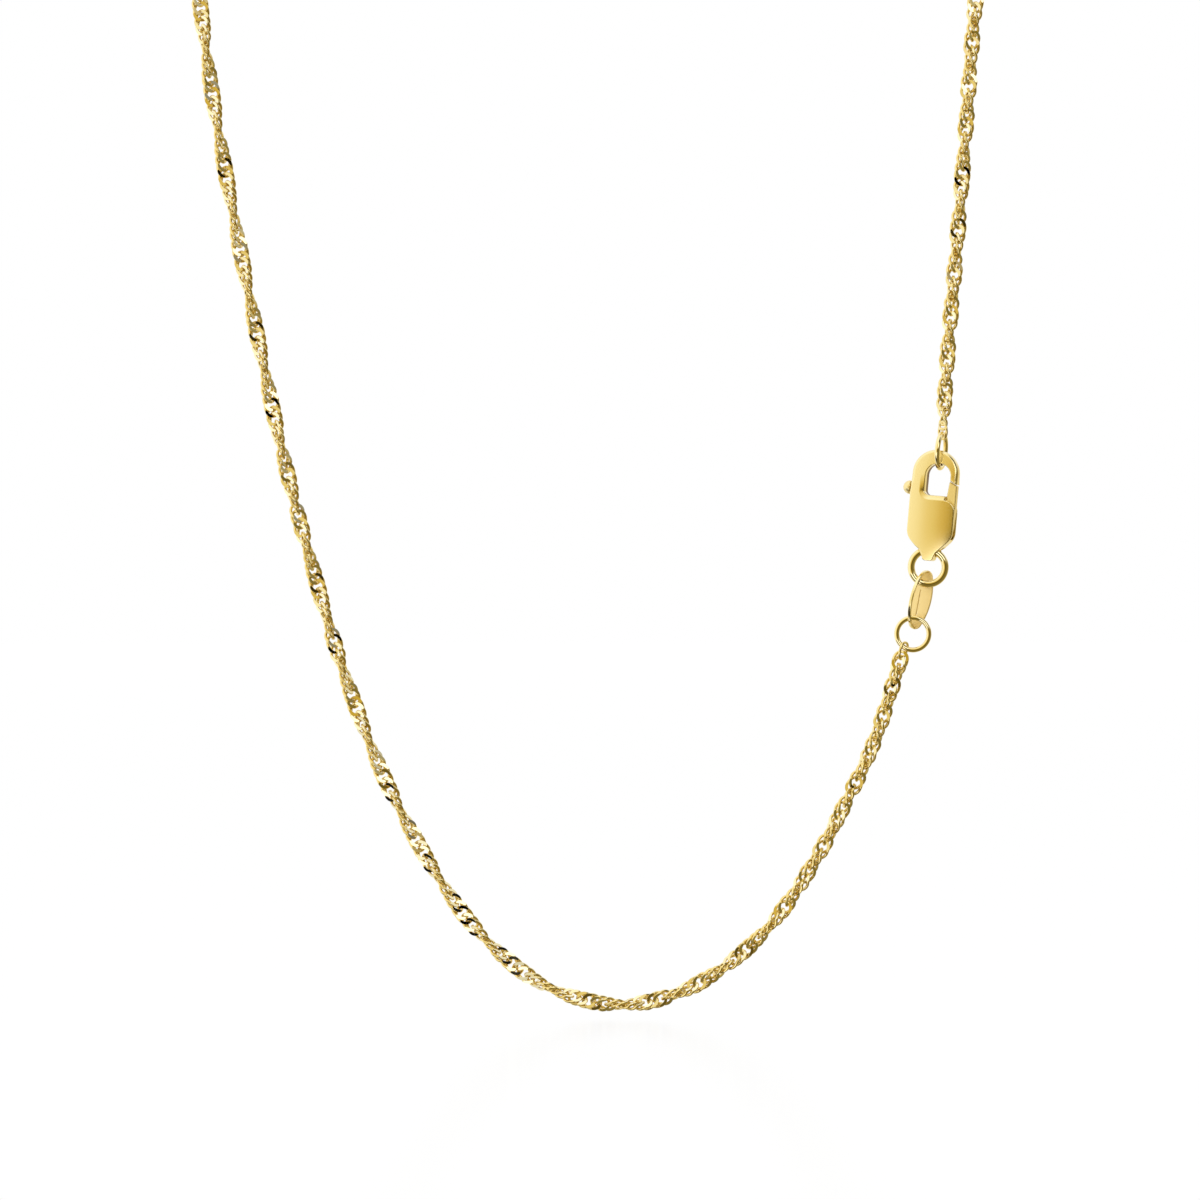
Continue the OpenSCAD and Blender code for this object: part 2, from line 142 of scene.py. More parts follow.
UPPER_LINK_AT = HOOK_RING_TOP + np.array(
    [0, 0, LINK_R - (HOOK_RING_WIRE + END_LINK_WIRE) / 2 - SLANTED_GAP])

# Materials

NOISE_DETAIL = 3
BUMP_DEPTH = 0.00002    # metres


def gold(name, colour, roughness, bump=0.0, bump_scale=0.0):
    """A gold, with a fine uneven surface where bump is given."""
    material = bpy.data.materials.new(name)
    material.use_nodes = True
    material.diffuse_color = (*colour, 1)
    tree = material.node_tree
    shader = tree.nodes["Principled BSDF"]
    shader.inputs["Base Color"].default_value = (*colour, 1)
    shader.inputs["Metallic"].default_value = 1
    shader.inputs["Roughness"].default_value = roughness
    if bump:
        place = tree.nodes.new("ShaderNodeTexCoord")
        noise = tree.nodes.new("ShaderNodeTexNoise")
        noise.inputs["Scale"].default_value = bump_scale
        noise.inputs["Detail"].default_value = NOISE_DETAIL
        uneven = tree.nodes.new("ShaderNodeBump")
        uneven.inputs["Strength"].default_value = bump
        uneven.inputs["Distance"].default_value = BUMP_DEPTH
        tree.links.new(place.outputs["Object"], noise.inputs["Vector"])
        tree.links.new(noise.outputs["Fac"], uneven.inputs["Height"])
        tree.links.new(uneven.outputs["Normal"], shader.inputs["Normal"])
    return material


WIRE_GOLD = gold("wire_gold", (0.87, 0.71, 0.315), 0.12)
# painted highlight: the cut faces are a paler copy of the wire gold, standing in for their cream
# glints; their lower roughness is real polish
FACET_HIGHLIGHT_GOLD = gold("facet_painted_highlight", (0.93, 0.83, 0.5), 0.05)
RING_GOLD = gold("ring_gold", (0.93, 0.79, 0.42), 0.07)
CLASP_GOLD = gold("clasp_gold", (0.925, 0.775, 0.40), 0.2, 0.1, 700)
LEVER_GOLD = gold("lever_gold", (0.91, 0.75, 0.37), 0.34, 0.1, 700)
# painted shade: a near-black brown gold for the mouth's inner wall, put where shade falls in the recess
MOUTH_SHADE_GOLD = gold("mouth_painted_shade", (0.17, 0.075, 0.015), 0.35)
TAG_GOLD = gold("tag_gold", (0.95, 0.77, 0.40), 0.42)

# Meshes


def piece(name, mesh, body, replaced):
    """Puts a mesh into the scene on its body, in the place of its CAD nodes."""
    obj = bpy.data.objects.new(name, mesh)
    bpy.context.scene.collection.objects.link(obj)
    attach(obj, body)
    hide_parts(*replaced)


def mesh_from(name, verts, faces, materials, smooth=True, indices=None, sharp=()):
    """A mesh from vertices in millimetres. The sharp edges come first in its list of edges."""
    mesh = bpy.data.meshes.new(name)
    mesh.from_pydata(np.asarray(verts, float) * MM, [tuple(edge) for edge in sharp], faces)
    for material in materials:
        mesh.materials.append(material)
    is_smooth = np.broadcast_to(smooth, len(mesh.polygons)).astype(bool)
    mesh.polygons.foreach_set("use_smooth", is_smooth)
    if indices is not None:
        mesh.polygons.foreach_set("material_index", np.asarray(indices, "i"))
    if len(sharp):
        flags = np.arange(len(mesh.edges)) < len(sharp)
        mesh.attributes.new("sharp_edge", "BOOLEAN", "EDGE").data.foreach_set("value", flags)
    mesh.update()
    return mesh


def grid_faces(n, k):
    """Quads of a closed loop of n sections with k points each."""
    i, j = np.meshgrid(np.arange(n), np.arange(k), indexing="ij")
    a = i * k + j
    b = ((i + 1) % n) * k + j
    c = ((i + 1) % n) * k + (j + 1) % k
    d = i * k + (j + 1) % k
    return np.stack([a, b, c, d], -1).reshape(-1, 4)


def sweep_loop(centre, out, side, profile):
    """A closed loop: at each centre the profile lies in the plane of out and side."""
    c, o, s = (np.asarray(v, float)[:, None, :] for v in (centre, out, side))
    across = np.asarray(profile, float)[None, :, :]
    v = c + o * across[..., 0:1] + s * across[..., 1:2]
    return v.reshape(-1, 3), grid_faces(len(centre), len(profile))


def circle(r, n):
    """The n corners of a circle, as the profile of a wire."""
    a = np.arange(n) * 2 * math.pi / n
    return np.stack([r * np.cos(a), r * np.sin(a)], 1)


def placed(verts, matrix):
    """Vertices in millimetres, moved by a matrix whose shift is in metres."""
    m = np.array(matrix)
    return np.asarray(verts) @ m[:3, :3].T + m[:3, 3] / MM


RING_SECTIONS, RING_SIDES = 112, 32


def ring_mesh(name, radius, wire, matrix):
    """A ring in the local xz plane."""
    a = np.arange(RING_SECTIONS) * 2 * math.pi / RING_SECTIONS
    out = np.stack([np.cos(a), 0 * a, np.sin(a)], 1)
    side = np.tile([0.0, 1.0, 0.0], (len(a), 1))
    v, f = sweep_loop(out * radius, out, side, circle(wire / 2, RING_SIDES))
    return mesh_from(name, placed(v, matrix), f.tolist(), [RING_GOLD])


# Solid fields: a field is negative inside a solid, which is meshed where it crosses zero

TINY = 1e-9    # lengths under this count as none

def arc_points(x, z, r, start, end, n):
    """Points along an arc, in the plane of an outline."""
    return [(x + r * math.cos(math.radians(start + (end - start) * i / n)),
             z + r * math.sin(math.radians(start + (end - start) * i / n))) for i in range(n + 1)]


def oval_points(half_l, half, end_r, n):
    """Corners of the oval made of two side arcs and two end arcs, as in the CAD source."""
    end_z = half_l - end_r
    side_r = (half * half + end_z * end_z - end_r * end_r) / (2 * (half - end_r))
    side_x = side_r - half
    lean = math.degrees(math.atan2(end_z, side_x))
    return (arc_points(-side_x, 0, side_r, -lean, lean, n)[:-1]
            + arc_points(0, end_z, end_r, lean, 180 - lean, n)[:-1]
            + arc_points(side_x, 0, side_r, 180 - lean, 180 + lean, n)[:-1]
            + arc_points(0, -end_z, end_r, 180 + lean, 360 - lean, n)[:-1])


def polygon_field(points, x, z):
    """The distance to an outline, negative inside it."""
    corners = np.asarray(points, float)
    nearest = np.full(np.broadcast(x, z).shape, np.inf)
    sign = np.ones(nearest.shape)
    for a, b in zip(corners, np.roll(corners, 1, 0)):
        side = b - a
        if np.hypot(*side) < TINY:
            continue
        off_x, off_z = x - a[0], z - a[1]
        share = np.clip((off_x * side[0] + off_z * side[1]) / (side @ side), 0, 1)
        distance = (off_x - side[0] * share) ** 2 + (off_z - side[1] * share) ** 2
        nearest = np.minimum(nearest, distance)
        above, below, left = z >= a[1], z < b[1], side[0] * off_z > side[1] * off_x
        sign = np.where((above & below & left) | (~above & ~below & ~left), -sign, sign)
    return sign * np.sqrt(nearest)


def both(a, b, r):
    """Where two fields meet, with the edge rounded to r."""
    return (np.minimum(-r, np.maximum(a, b))
            + np.hypot(np.maximum(r + a, 0), np.maximum(r + b, 0)))


def either(a, b, r):
    """Two fields as one, with the corner between them filled to r."""
    return -both(-a, -b, r)


def without(a, b, r):
    """The first field with the second cut out of it, the edge rounded to r."""
    return both(a, -b, r)


# How the vertices settle onto the surface, in shares of a step
SETTLING_ROUNDS, PROBE, LONGEST_MOVE = 3, 0.2, 0.5
LEAST_SLOPE = 0.2    # the square of the slope counts as no less than this


def cells_beside(at, others, back_one, back_other):
    """The grid cells beside edges, some steps back along the two other axes."""
    cells = at.copy()
    cells[:, others[0]] -= back_one
    cells[:, others[1]] -= back_other
    return cells


def surface(field, low, high, step):
    """Vertices and quads where the field crosses zero: a vertex in each cell that it crosses."""
    axes = [np.arange(start, end + step, step) for start, end in zip(low, high)]
    x, y, z = np.ix_(*axes)
    values = np.ascontiguousarray(np.broadcast_to(field(x, y, z), tuple(len(a) for a in axes)))
    inside = values < 0
    shape = tuple(n - 1 for n in values.shape)
    total, count = np.zeros((*shape, 3)), np.zeros(shape)
    edges = []
    for axis in range(3):
        starts = tuple(slice(None, -1) if k == axis else slice(None) for k in range(3))
        ends = tuple(slice(1, None) if k == axis else slice(None) for k in range(3))
        crossed = inside[starts] != inside[ends]
        at = np.argwhere(crossed)
        start_value, end_value = values[starts][crossed], values[ends][crossed]
        points = at.astype(float)
        points[:, axis] += start_value / (start_value - end_value)
        others = [k for k in range(3) if k != axis]
        for back_one, back_other in ((0, 0), (0, 1), (1, 0), (1, 1)):
            cells = cells_beside(at, others, back_one, back_other)
            ok = np.all((cells >= 0) & (cells < shape), axis=1)
            np.add.at(total, tuple(cells[ok].T), points[ok])
            np.add.at(count, tuple(cells[ok].T), 1)
        edges.append((axis, others, at, start_value < 0))
    used = count > 0
    ids = np.full(shape, -1)
    ids[used] = np.arange(used.sum())
    verts = total[used] / count[used][:, None] * step + np.array(low)
    faces = []
    for axis, others, at, starts_inside in edges:
        ok = np.all([(at[:, k] >= 1) & (at[:, k] < shape[k]) for k in others], axis=0)
        at, starts_inside = at[ok], starts_inside[ok]
        corners = [ids[tuple(cells_beside(at, others, back_one, back_other).T)]
                   for back_one, back_other in ((1, 1), (0, 1), (0, 0), (1, 0))]
        quads = np.stack(corners, 1)
        reverse = starts_inside if axis == 1 else ~starts_inside
        quads[reverse] = quads[reverse][:, ::-1]
        faces.append(quads)
    return settled(field, verts, step), np.concatenate(faces)


def settled(field, verts, step):
    """The vertices moved onto the true surface."""
    h = step * PROBE
    for _ in range(SETTLING_ROUNDS):
        x, y, z = verts.T
        value = field(x, y, z)
        slope = np.stack([field(x + h, y, z) - field(x - h, y, z),
                          field(x, y + h, z) - field(x, y - h, z),
                          field(x, y, z + h) - field(x, y, z - h)], 1) / (2 * h)
        steepness = np.maximum((slope * slope).sum(1), LEAST_SLOPE)
        move = -(value / steepness)[:, None] * slope
        size = np.linalg.norm(move, axis=1, keepdims=True)
        verts = verts + move * np.minimum(1, step * LONGEST_MOVE / np.maximum(size, TINY))
    return verts


# Clasp

FAR = 3    # clear of the clasp's sides
TAPER = SHOULDER_R * math.sqrt(0.5)
SIDE_X = HALF_W - SHOULDER_R
TAIL_ROOT_Z = SHOULDER_Z - TAPER - (SIDE_X + TAPER - TAIL_W / 2)
TIP_X = TAIL_TIP_W / 2 - TAIL_CORNER_R
BODY_OUTLINE = (arc_points(0, CLASP_L - HALF_W, HALF_W, 0, 180, 48)
                + arc_points(-SIDE_X, SHOULDER_Z, SHOULDER_R, 180, 225, 12)
                + [(-TAIL_W / 2, TAIL_ROOT_Z)]
                + arc_points(-TIP_X, TAIL_CORNER_R, TAIL_CORNER_R, 180, 270, 8)
                + arc_points(TIP_X, TAIL_CORNER_R, TAIL_CORNER_R, 270, 360, 8)
                + [(TAIL_W / 2, TAIL_ROOT_Z)]
                + arc_points(SIDE_X, SHOULDER_Z, SHOULDER_R, 315, 360, 12))
MOUTH_OUTLINE = (arc_points(MOUTH_X, MOUTH_TOP - MOUTH_R, MOUTH_R, 0, 180, 40)
                 + arc_points(MOUTH_X - MOUTH_R + MOUTH_CORNER_R, MOUTH_BOTTOM + MOUTH_CORNER_R,
                              MOUTH_CORNER_R, 180, 270, 8)
                 + [(MOUTH_X + MOUTH_R, MOUTH_BOTTOM)])


def tip_at(x):
    """The height of the hook tip's end face at a place across the clasp."""
    return TIP_Z + TIP_SLOPE * (x - MOUTH_X - MOUTH_R)


CORNER_X = HALF_W - CHEEK_R
GATE_OPENING = ([(CORNER_X, tip_at(CORNER_X)), (CORNER_X, CHEEK_Z + CHEEK_R)]
                + arc_points(CORNER_X, CHEEK_Z, CHEEK_R, 90, 0, 20)
                + [(FAR, CHEEK_Z), (FAR, tip_at(FAR))])
HUB_ROOM = HUB_R + HUB_GAP
ARM_END_X = MOUTH_X - MOUTH_R - SLOT_ROOF
SLOT_TOP_Z = MOUTH_BOTTOM - SLOT_ROOF
THUMB_TOP_Z = THUMB_Z + THUMB_R
SLOT_OUTLINE = ([(-FAR, SLOT_LOW_Z + SLOT_STEP), (ARM_END_X - CUT, SLOT_LOW_Z + SLOT_STEP),
                 (ARM_END_X - CUT, SLOT_LOW_Z), (NOTCH_X, SLOT_LOW_Z), (NOTCH_X, PIVOT[1])]
                + arc_points(*PIVOT, HUB_ROOM, 180, 270, 16)
                + [(FAR, PIVOT[1] - HUB_ROOM), (FAR, MOUTH_BOTTOM + CUT),
                   (NOTCH_X, MOUTH_BOTTOM + CUT), (NOTCH_X, SLOT_TOP_Z), (ARM_END_X, SLOT_TOP_Z),
                   (ARM_END_X, THUMB_TOP_Z), (-FAR, THUMB_TOP_Z)])
GATE_X = HALF_W - GATE_SIDE
ROOT_X = GATE_X - GATE_ROOT_W
NECK_X = PIVOT[0] - NECK_REACH
ARM_X, ARM_TOP_Z = ARM_END_X - ARM_GAP, SLOT_TOP_Z - ARM_GAP
LEVER_OUTLINE = ([(NECK_X, ARM_LOW_Z), (NECK_X, PIVOT[1] + NECK_REACH)]
                 + arc_points(*PIVOT, HUB_R, 135, 360, 40)
                 + [(GATE_X, CHEEK_Z), (GATE_X, tip_at(GATE_X) - TIP_GAP),
                    (GATE_X - GATE_W, tip_at(GATE_X - GATE_W) - TIP_GAP),
                    (ROOT_X, MOUTH_BOTTOM), (ROOT_X, ARM_TOP_Z), (ARM_X, ARM_TOP_Z),
                    (ARM_X, THUMB_Z + ARM_HALF - ARM_SLOPE),
                    (ARM_X - ARM_SLOPE, THUMB_Z + ARM_HALF), (THUMB_X, THUMB_Z + ARM_HALF),
                    (THUMB_X, THUMB_Z - ARM_HALF), (ARM_INSET - HALF_W, ARM_TOP_Z - ARM_SLOPE),
                    (ARM_X, ARM_LOW_Z + ARM_GAP), (ROOT_X + LAP, ARM_LOW_Z)])

# Forms of the looks alone: the face's bend along the clasp, the bevel at the mouth and the
# rounding of the edges
BEND_R, BEND_FROM = 23, 1.0
BEVEL_W, BEVEL_SLOPE, BEVEL_TOP_Z, BEVEL_FADE = 0.42, 0.5, 7.6, 2
EDGE_R, HOOK_EDGE_R, HOOK_FROM_Z, HOOK_FADE = 0.05, 0.27, 5.6, 1.6
MOUTH_EDGE_R, GATE_EDGE_R, BORE_EDGE_R = 0.06, 0.05, 0.08
SLOT_EDGE_R, SLOT_CORNER_R = 0.03, 0.02
PIN_REACH, PIN_EDGE_R = 0.6, 0.02
LEVER_EDGE_R, THUMB_EDGE_R, THUMB_JOIN_R, LEVER_BORE_R = 0.07, 0.1, 0.03, 0.03
# Painted shade: the mouth's wall gets a dark brown gold within this distance of the outline and behind
# this depth, standing in for the shade in the mouth
SHADE_NEAR, SHADE_FROM_Y = 0.04, -0.1


def half_thickness(x, z):
    """The body is crowned across and along in one smooth face."""
    past = np.maximum(np.abs(z - CROWN_Z) - BEND_FROM, 0)
    return BODY_T / 2 - x * x / (2 * CROWN_R) - past ** 2 / (2 * BEND_R)


def body_field(x, y, z):
    """The clasp's body in its own frame, with the pin across its slot."""
    flat = polygon_field(BODY_OUTLINE, x, z)
    mouth = polygon_field(MOUTH_OUTLINE, x, z)
    gate = polygon_field(GATE_OPENING, x, z)
    slot = polygon_field(SLOT_OUTLINE, x, z)
    # the face slopes down to the mouth, and the hook is rounder than the body
    bevel = (BEVEL_SLOPE * np.maximum(BEVEL_W - mouth, 0)
             * np.clip((BEVEL_TOP_Z - z) / BEVEL_FADE, 0, 1))
    edge = EDGE_R + (HOOK_EDGE_R - EDGE_R) * np.clip((z - HOOK_FROM_Z) / HOOK_FADE, 0, 1) ** 2
    f = both(flat, np.abs(y) - half_thickness(x, z) + bevel, edge)
    f = without(f, mouth, MOUTH_EDGE_R)
    f = without(f, gate, GATE_EDGE_R)
    f = without(f, both(slot, np.abs(y) - LEVER_T / 2 - LEVER_GAP, SLOT_CORNER_R), SLOT_EDGE_R)
    turn = math.radians(-CLASP_TURN)
    across = -x * math.sin(turn) + y * math.cos(turn)
    f = without(f, np.hypot(across, z - TAIL_BORE_Z) - TAIL_BORE_R, BORE_EDGE_R)
    pin = both(np.hypot(x - PIVOT[0], z - PIVOT[1]) - PIN_R, np.abs(y) - PIN_REACH, PIN_EDGE_R)
    return np.minimum(f, pin)


def lever_field(x, y, z):
    """The lever in the clasp's frame: gate, hub, arm and the round thumb piece."""
    flat = polygon_field(LEVER_OUTLINE, x, z)
    f = both(flat, np.abs(y) - LEVER_T / 2, LEVER_EDGE_R)
    ball = np.sqrt((x - THUMB_X) ** 2 + y ** 2 + (z - THUMB_Z) ** 2) - THUMB_R
    thumb = both(ball, x + HALF_W + THUMB_GAP, THUMB_EDGE_R)
    f = either(f, thumb, THUMB_JOIN_R)
    bore = np.hypot(x - PIVOT[0], z - PIVOT[1]) - PIN_R - PIN_GAP
    return without(f, bore, LEVER_BORE_R)


# The steps of the grids that the solids are meshed on, and the corners of those grids. The
# clasp's start a little off round numbers, which keeps its outer faces off the grids' planes.
CLASP_STEP = 0.05
TAG_STEP = 0.03
BODY_LOW, BODY_HIGH = (-2.22, -1.12, -0.22), (2.2, 1.1, CLASP_L + 0.2)
LEVER_LOW, LEVER_HIGH = (-3.12, -0.83, 1.92), (2.2, 0.8, 7.3)
TAG_LOW, TAG_HIGH = (-2.5, -1.15, -2.75), (0.25, 1.15, 2.75)
clasp_place = turned(CLASP_LEAN, CLASP_TURN, CLASP_TIP)


def build_body():
    """The clasp's body with its pin."""
    v, f = surface(body_field, BODY_LOW, BODY_HIGH, CLASP_STEP)
    # painted shade: the mouth's wall is dark brown behind the bevel, standing in for the shade inside
    # the mouth
    middle = v[f].mean(1)
    shade_in_mouth = np.abs(polygon_field(MOUTH_OUTLINE, middle[:, 0], middle[:, 2])) < SHADE_NEAR
    shade_in_mouth &= middle[:, 1] > SHADE_FROM_Y
    mesh = mesh_from("clasp_body_m", placed(v, clasp_place), f.tolist(), [CLASP_GOLD, MOUTH_SHADE_GOLD],
                     indices=shade_in_mouth)
    piece("clasp_body_gold", mesh, "necklace", ["clasp_body"])


def build_lever():
    """The lever with its thumb piece."""
    v, f = surface(lever_field, LEVER_LOW, LEVER_HIGH, CLASP_STEP)
    mesh = mesh_from("clasp_lever_m", placed(v, clasp_place), f.tolist(), [LEVER_GOLD])
    piece("clasp_lever_gold", mesh, "lever", ["clasp_lever"])


build_body()
build_lever()

# Rings and tag


def moved_to(at):
    """A move by millimetres without a turn."""
    return Matrix.Translation([c * MM for c in at])


def build_ring(node, radius, wire, matrix):
    mesh = ring_mesh(node + "_m", radius, wire, matrix)
    piece(node + "_gold", mesh, "necklace", [node])


build_ring("hook_ring", HOOK_RING_R, HOOK_RING_WIRE,
           clasp_place @ moved_to(HOOK_RING_AT) @ Matrix.Rotation(math.pi / 2, 4, "Z"))
build_ring("tail_ring", TAIL_RING_R, TAIL_RING_WIRE, moved_to(TAIL_RING_AT))
build_ring("chain_ring", CHAIN_RING_R, CHAIN_RING_WIRE, moved_to(CHAIN_RING_AT))

TAG_REACH = TAG_DEPTH - TAG_T / 2
TAG_BACK = oval_points(TAG_L / 2, TAG_W / 2, TAG_BACK_R, 24)
TAG_BOW = oval_points(TAG_L / 2, TAG_REACH, TAG_BOW_R, 32)
TAG_BOW_INSIDE = oval_points(TAG_L / 2 - TAG_T, TAG_REACH - TAG_T, TAG_BOW_R - TAG_T, 32)
POLISHED_FROM_X = -0.6 * TAG_T    # the faces past this are the bow's
TAG_EDGE_R, SEAM_EDGE_R, BOW_EDGE_R, BOW_JOIN_R = 0.06, 0.02, 0.01, 0.03


def tag_field(x, y, z):
    """x is measured from the middle of the flat back."""
    back = both(polygon_field(TAG_BACK, y, z), np.abs(x) - TAG_T / 2, TAG_EDGE_R)
    back = without(back, polygon_field(TAG_SEAM, y, z), SEAM_EDGE_R)
    inside = polygon_field(TAG_BOW_INSIDE, x, z)
    bow = without(polygon_field(TAG_BOW, x, z), inside, BOW_EDGE_R)
    bow = both(both(bow, np.abs(y) - TAG_BOW_W / 2, TAG_EDGE_R), x, BOW_EDGE_R)
    return either(back, bow, BOW_JOIN_R)


def build_tag():
    """The flat back is satin and the bow polished."""
    place = turned(TAG_LEAN, TAG_TURN, TAG_AT) @ moved_to(((TAG_DEPTH - TAG_T) / 2, 0, 0))
    v, f = surface(tag_field, TAG_LOW, TAG_HIGH, TAG_STEP)
    on_bow = v[f][:, :, 0].mean(1) < POLISHED_FROM_X
    mesh = mesh_from("tag_m", placed(v, place), f.tolist(), [TAG_GOLD, RING_GOLD], indices=on_bow)
    piece("tag_gold", mesh, "necklace", ["tag_link"])


build_tag()

# Chain

WIRE = 0.28
LINK_A = 0.785       # half length of a link's centreline
LINK_B = 0.61        # half width
SADDLE = 0.175       # how far the wire rises to each side
SQUARENESS = 0.95    # under 1 the link's outline is a little fuller than an oval
SADDLE_SHAPE = 0.6   # the same for the wire's rise
FACET_AT = 0.215     # flat faces are cut this far from the chain's middle plane
PITCH = 1.2727       # between one pair of links and the next
PAIR = 0.2655        # each link of a pair lies this far from the pair's middle
LINK_SECTIONS, LINK_SIDES = 32, 12
WOBBLE = 2.5         # degrees by which links lie unevenly
WOBBLE_SEED = 7


def link_curve(n, a, b, saddle):
    """The middle of a link's wire: an oval that rises and falls as on a saddle."""
    t = (np.arange(n) + 0.5) * 2 * math.pi / n

    def bent(wave, power):
        return np.sign(wave) * np.abs(wave) ** power

    return np.stack([b * bent(np.cos(t), SQUARENESS), -saddle * bent(np.sin(2 * t), SADDLE_SHAPE),
                     a * bent(np.sin(t), SQUARENESS)], 1)


SAME_PLACE = 1e-5    # vertices nearer than this are one


def link_base(sections, sides, a, b, saddle, facet_at, wire):
    """One link as vertices, faces, which faces are flat, and the sharp edges round them."""
    c = link_curve(sections, a, b, saddle)
    tangent = np.roll(c, -1, 0) - np.roll(c, 1, 0)
    tangent /= np.linalg.norm(tangent, axis=1, keepdims=True)
    out = np.cross(tangent, [0.0, -1.0, 0.0])
    out /= np.linalg.norm(out, axis=1, keepdims=True)
    side = np.cross(out, tangent)
    v, f = sweep_loop(c, out, side, circle(wire / 2, sides))
    bm = bmesh.new()
    vs = [bm.verts.new(p) for p in v]
    for q in f:
        bm.faces.new([vs[i] for i in q])
    bmesh.ops.recalc_face_normals(bm, faces=bm.faces)
    flat = set()
    if facet_at:
        for s in (-1, 1):
            geom = bm.verts[:] + bm.edges[:] + bm.faces[:]
            cut = bmesh.ops.bisect_plane(bm, geom=geom, plane_co=(0, s * facet_at, 0),
                                         plane_no=(0, s, 0), clear_outer=True, dist=SAME_PLACE)
            rim = [e for e in cut["geom_cut"] if isinstance(e, bmesh.types.BMEdge)]
            filled = bmesh.ops.holes_fill(bm, edges=rim, sides=0)
            flat.update(filled["faces"])
        bmesh.ops.recalc_face_normals(bm, faces=bm.faces)
    flat = {x for x in flat if x.is_valid}
    bm.verts.index_update()
    verts = np.array([x.co for x in bm.verts])
    faces = [[x.index for x in face.verts] for face in bm.faces]
    is_flat = [face in flat for face in bm.faces]
    sharp = [[e.verts[0].index, e.verts[1].index] for e in bm.edges
             if len(e.link_faces) == 2 and ((e.link_faces[0] in flat) != (e.link_faces[1] in flat))]
    bm.free()
    return verts, faces, is_flat, sharp


def spline_points(points, per_span):
    """A smooth curve through the points, by the same formula as the CAD's."""
    p = [2 * points[0] - points[1], *points, 2 * points[-1] - points[-2]]
    out = []
    for i in range(1, len(p) - 2):
        a, b, c, d = p[i - 1:i + 3]
        for k in range(per_span):
            t = k / per_span
            out.append(0.5 * (2 * b + (c - a) * t + (2 * a - 5 * b + 4 * c - d) * t * t
                              + (3 * b - a - 3 * c + d) * t ** 3))
    out.append(p[-2])
    return np.array(out)


PER_SPAN = 60
curve = spline_points([LOWER_LINK_AT] + [np.array(p) / MM for p in ROUTE] + [UPPER_LINK_AT],
                      PER_SPAN)
run = np.concatenate([[0], np.cumsum(np.linalg.norm(np.diff(curve, axis=0), axis=1))])
length = run[-1]
tangents = np.gradient(curve, run, axis=0)
tangents /= np.linalg.norm(tangents, axis=1, keepdims=True)
FRONT = np.array([0.0, -1.0, 0.0])


def carried_normals():
    """A side direction carried along the chain without twist, starting towards the front."""
    carried = np.zeros_like(curve)
    normal = FRONT
    for i, along in enumerate(tangents):
        normal = normal - (normal @ along) * along
        normal /= np.linalg.norm(normal)
        carried[i] = normal
    return carried


normals = carried_normals()


def on_curve(table, s):
    """The values of a table of the curve at lengths s along the chain."""
    return np.stack([np.interp(s, run, table[:, k]) for k in range(3)], -1)


# The stops of the route where the left strand passes the photo's top edge, at the nape, and
# where the right strand passes that edge
LEFT_TOP_STOP, NAPE_STOP, RIGHT_TOP_STOP = 18, 30, 42
LEFT_TOP, NAPE, RIGHT_TOP = (run[stop * PER_SPAN]
                             for stop in (LEFT_TOP_STOP, NAPE_STOP, RIGHT_TOP_STOP))
PX = 0.0885    # millimetres to a pixel of the photo

# Where the chain stands edge on and face on to the camera, in pixels along each strand from
# the photo's top edge
LEFT_EDGE_ON = [50, 131, 217, 300, 376, 455, 511, 557, 638, 682, 762, 838, 920, 995, 1078,
                1150, 1205, 1257, 1322, 1366, 1400, 1434, 1474, 1507, 1542, 1578, 1606]
LEFT_FACE_ON = [94, 415, 725, 802, 961, 1119, 1183, 1284, 1487]
RIGHT_EDGE_ON = [22, 62, 103, 145, 207, 252, 294, 334, 378, 416]
RIGHT_FACE_ON = [7, 45, 86, 228, 355]
HIDDEN_HALF_TURN = 7.1    # millimetres of chain to a half turn round the neck
# The middle of one pair of links on each strand, in the same pixels
LEFT_PAIR_PX, RIGHT_PAIR_PX = 411.2, 86.7


def half_turns(edge_on, face_on):
    """Places along a strand with their half turns: whole where face on, between where edge on."""
    marks = [(px, k + 0.5) for k, px in enumerate(edge_on)]
    marks += [(px, sum(e < px for e in edge_on)) for px in face_on]
    px, turn = np.array(sorted(marks)).T
    return px, turn


def twist_table():
    """Lengths along the chain and the twist there, in degrees from the carried side."""
    px, turn = half_turns(LEFT_EDGE_ON, LEFT_FACE_ON)
    left_s, left_a = (LEFT_TOP - px * PX)[::-1], (90 + 180 * (turn[-1] - turn))[::-1]
    px, turn = half_turns(RIGHT_EDGE_ON, RIGHT_FACE_ON)
    right_s, right_a = RIGHT_TOP + px * PX, 180 * turn
    # the untwisted side direction has turned a little by the right strand
    i = RIGHT_TOP_STOP * PER_SPAN
    along, normal = tangents[i], normals[i]
    carried = math.degrees(math.atan2(np.cross(normal, FRONT) @ along, normal @ FRONT))
    turns = round((right_s[0] - left_s[-1]) / HIDDEN_HALF_TURN
                  + (left_a[-1] - right_a[0]) / 180)
    right_a += carried + 180 * turns
    # the end links' own turns
    s = np.concatenate([[0.0], left_s, right_s, [float(length)]])
    angle = np.concatenate([[-LOWER_TURN], left_a, right_a, [right_a[-1] - 90 - UPPER_TURN]])
    return s, angle


TWIST_S, TWIST_A = twist_table()
PAST_END = 2
MANY = 400    # more pairs than a strand has


def pairs_between(start, end, one):
    """The middles of the pairs in step with one of them, and a little past both ends."""
    low, high = start - PAST_END, end + PAST_END
    pairs = one + PITCH * np.arange(-MANY, MANY)
    return pairs[(pairs > low) & (pairs < high)]


